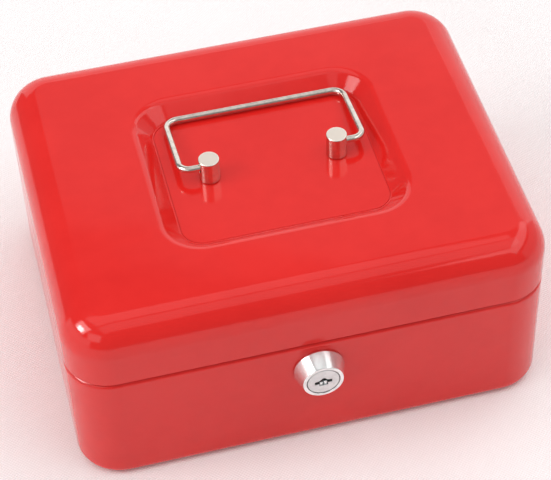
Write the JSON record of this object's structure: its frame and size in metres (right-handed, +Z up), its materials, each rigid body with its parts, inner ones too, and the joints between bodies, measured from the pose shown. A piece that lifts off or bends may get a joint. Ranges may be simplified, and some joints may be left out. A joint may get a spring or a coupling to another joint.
{
  "type": "cash box",
  "caption": "Lockable pressed steel cash and collection box with a hinged lid, a folding bail handle in a pressed recess, a cam lock and a lift-out coin tray.",
  "frame": {"origin": "centre of the flat underside of the base", "axes": "+X to the right along the front, +Y to the back where the hinges are, +Z up; the lock faces -Y"},
  "size_m": [0.2, 0.1747, 0.0923],
  "materials": {
    "red_enamel": "smooth gloss stoved enamel on steel",
    "nickel": "bright nickel plating on steel wire and turned posts",
    "lock_chrome": "polished chrome on die-cast zinc",
    "zinc_steel": "zinc plated steel, satin",
    "tray_plastic": "fine textured moulded plastic"
  },
  "bodies": {
    "base": {"base_shell": "red_enamel", "hinge_base_leaf_left": "zinc_steel", "hinge_base_leaf_right": "zinc_steel", "hinge_pin_left": "zinc_steel", "hinge_pin_right": "zinc_steel", "hinge_base_rivet_1": "zinc_steel", "hinge_base_rivet_2": "zinc_steel", "hinge_base_rivet_3": "zinc_steel", "hinge_base_rivet_4": "zinc_steel", "lock_housing": "lock_chrome", "lock_nut": "zinc_steel", "tray_ledge_left": "zinc_steel", "tray_ledge_right": "zinc_steel"},
    "lid": {"lid_shell": "red_enamel", "lid_strike": "zinc_steel", "hinge_lid_leaf_left": "zinc_steel", "hinge_lid_leaf_right": "zinc_steel", "hinge_lid_rivet_1": "zinc_steel", "hinge_lid_rivet_2": "zinc_steel", "hinge_lid_rivet_3": "zinc_steel", "hinge_lid_rivet_4": "zinc_steel", "handle_post_left": "nickel", "handle_post_right": "nickel", "post_washer_left": "zinc_steel", "post_washer_right": "zinc_steel", "post_screw_left": "zinc_steel", "post_screw_right": "zinc_steel"},
    "handle": {"handle_bail": "nickel"},
    "lock": {"lock_plug": "lock_chrome", "lock_cam": "zinc_steel", "lock_cam_screw": "zinc_steel"},
    "tray": {"coin_tray": "tray_plastic"}
  },
  "joints": [
    {"name": "lid_hinge", "type": "hinge", "parent": "base", "child": "lid", "pos_m": [0, 0.0835, 0.059], "axis": [-1, 0, 0], "range_deg": [0, 100]},
    {"name": "handle_swing", "type": "hinge", "parent": "lid", "child": "handle", "pos_m": [0.0024, -0.0002, 0.088], "axis": [1, 0, 0], "range_deg": [0, 165]},
    {"name": "lock_turn", "type": "hinge", "parent": "base", "child": "lock", "pos_m": [0, -0.081, 0.044], "axis": [0, 1, 0], "range_deg": [0, 90]},
    {"name": "tray_lift", "type": "slide", "parent": "base", "child": "tray", "axis": [0, 0, 1], "range_m": [0, 0.008]}
  ]
}
